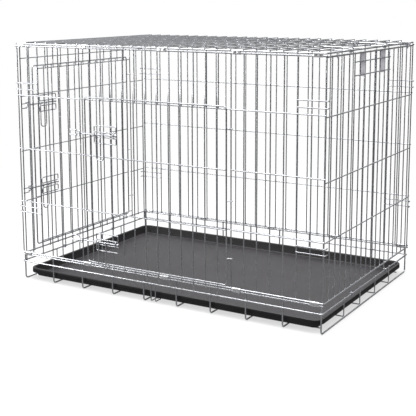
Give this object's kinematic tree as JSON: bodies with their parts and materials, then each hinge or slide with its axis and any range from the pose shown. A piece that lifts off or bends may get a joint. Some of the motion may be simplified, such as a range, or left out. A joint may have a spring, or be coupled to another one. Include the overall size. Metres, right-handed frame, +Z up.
{
  "type": "wire dog crate",
  "caption": "Folding wire dog crate with hinged end panels, front and end doors on slide bolts, wire base, plastic tray and carrying bail.",
  "frame": {"origin": "on the floor under the middle of the crate", "axes": "+X along the crate to its plain end, -Y out of the front with the large door, +Z up"},
  "size_m": [1.1082, 0.7245, 0.7924],
  "materials": {
    "rail_wire": "bright zinc",
    "panel_wire": "bright zinc",
    "latch_wire": "bright zinc",
    "clip_steel": "zinc-plated sheet",
    "tray_plastic": "fine grained black plastic"
  },
  "bodies": {
    "cage": {"base_long_rails": "rail_wire", "base_ring_wires": "rail_wire", "base_cross_wires": "rail_wire", "base_legs": "rail_wire", "base_floor_wires": "rail_wire", "base_floor_ends": "rail_wire", "front_rails": "rail_wire", "back_rails": "rail_wire", "front_bars": "panel_wire", "back_bars": "panel_wire", "front_cross_wires": "panel_wire", "back_cross_wires": "panel_wire", "front_corner_hooks": "panel_wire", "back_corner_hooks": "panel_wire", "top_rails": "rail_wire", "top_bars": "panel_wire", "top_long_wires": "panel_wire", "top_end_hooks": "panel_wire", "front_top_clips": "clip_steel", "back_top_clips": "clip_steel", "front_base_clips": "clip_steel", "back_base_clips": "clip_steel", "tray_clip": "panel_wire", "front_keepers": "panel_wire"},
    "tray": {"tray": "tray_plastic"},
    "left_end": {"left_end_rails": "rail_wire", "left_end_bars": "panel_wire", "left_end_hinges": "panel_wire", "left_end_cross_wires": "panel_wire", "left_end_keepers": "panel_wire"},
    "right_end": {"right_end_rails": "rail_wire", "right_end_bars": "panel_wire", "right_end_hinges": "panel_wire", "right_end_cross_wires": "panel_wire", "right_end_plates": "clip_steel"},
    "front_door": {"front_door_frame": "rail_wire", "front_door_bars": "panel_wire", "front_door_cross_wires": "panel_wire", "front_door_hinges": "panel_wire", "front_door_guards": "panel_wire", "front_door_staples": "panel_wire"},
    "left_door": {"left_door_frame": "rail_wire", "left_door_bars": "panel_wire", "left_door_cross_wires": "panel_wire", "left_door_hinges": "panel_wire", "left_door_guards": "panel_wire", "left_door_staples": "panel_wire"},
    "carry_handle": {"carry_handle": "latch_wire"},
    "front_upper_bolt": {"front_upper_bolt": "latch_wire"},
    "front_upper_handle": {"front_upper_handle": "latch_wire"},
    "front_lower_bolt": {"front_lower_bolt": "latch_wire"},
    "front_lower_handle": {"front_lower_handle": "latch_wire"},
    "left_upper_bolt": {"left_upper_bolt": "latch_wire"},
    "left_upper_handle": {"left_upper_handle": "latch_wire"},
    "left_lower_bolt": {"left_lower_bolt": "latch_wire"},
    "left_lower_handle": {"left_lower_handle": "latch_wire"}
  },
  "joints": [
    {"name": "left_end_fold", "type": "hinge", "parent": "cage", "child": "left_end", "pos_m": [-0.5425, 0, 0.062], "axis": [0, 1, 0], "range_deg": [0, 85]},
    {"name": "right_end_fold", "type": "hinge", "parent": "cage", "child": "right_end", "pos_m": [0.5425, 0, 0.062], "axis": [0, -1, 0], "range_deg": [0, 90]},
    {"name": "front_door_swing", "type": "hinge", "parent": "cage", "child": "front_door", "pos_m": [0.25039, -0.3483, 0.35], "axis": [0, 0, 1], "range_deg": [0, 105]},
    {"name": "left_door_swing", "type": "hinge", "parent": "left_end", "child": "left_door", "pos_m": [-0.53785, 0.26077, 0.35], "axis": [0, 0, 1], "range_deg": [-105, 0]},
    {"name": "tray_lift", "type": "slide", "parent": "cage", "child": "tray", "axis": [0, 0, -1], "range_m": [-0.3, 0]},
    {"name": "carry_handle_lift", "type": "hinge", "parent": "cage", "child": "carry_handle", "pos_m": [0.5425, 0, 0.782], "axis": [0, 1, 0], "range_deg": [0, 100]},
    {"name": "front_upper_bolt_slide", "type": "slide", "parent": "front_door", "child": "front_upper_bolt", "axis": [1, 0, 0], "range_m": [0, 0.035]},
    {"name": "front_upper_handle_swing", "type": "hinge", "parent": "front_upper_bolt", "child": "front_upper_handle", "pos_m": [-0.2056, -0.36215, 0.511], "axis": [-1, 0, 0], "range_deg": [0, 150]},
    {"name": "front_lower_bolt_slide", "type": "slide", "parent": "front_door", "child": "front_lower_bolt", "axis": [1, 0, 0], "range_m": [0, 0.035]},
    {"name": "front_lower_handle_swing", "type": "hinge", "parent": "front_lower_bolt", "child": "front_lower_handle", "pos_m": [-0.2056, -0.36215, 0.17], "axis": [-1, 0, 0], "range_deg": [0, 150]},
    {"name": "left_upper_bolt_slide", "type": "slide", "parent": "left_door", "child": "left_upper_bolt", "axis": [0, -1, 0], "range_m": [-0.035, 0]},
    {"name": "left_upper_handle_swing", "type": "hinge", "parent": "left_upper_bolt", "child": "left_upper_handle", "pos_m": [-0.5517, -0.2184, 0.577], "axis": [0, 1, 0], "range_deg": [0, 150]},
    {"name": "left_lower_bolt_slide", "type": "slide", "parent": "left_door", "child": "left_lower_bolt", "axis": [0, -1, 0], "range_m": [-0.035, 0]},
    {"name": "left_lower_handle_swing", "type": "hinge", "parent": "left_lower_bolt", "child": "left_lower_handle", "pos_m": [-0.5517, -0.2184, 0.296], "axis": [0, 1, 0], "range_deg": [0, 150]}
  ]
}
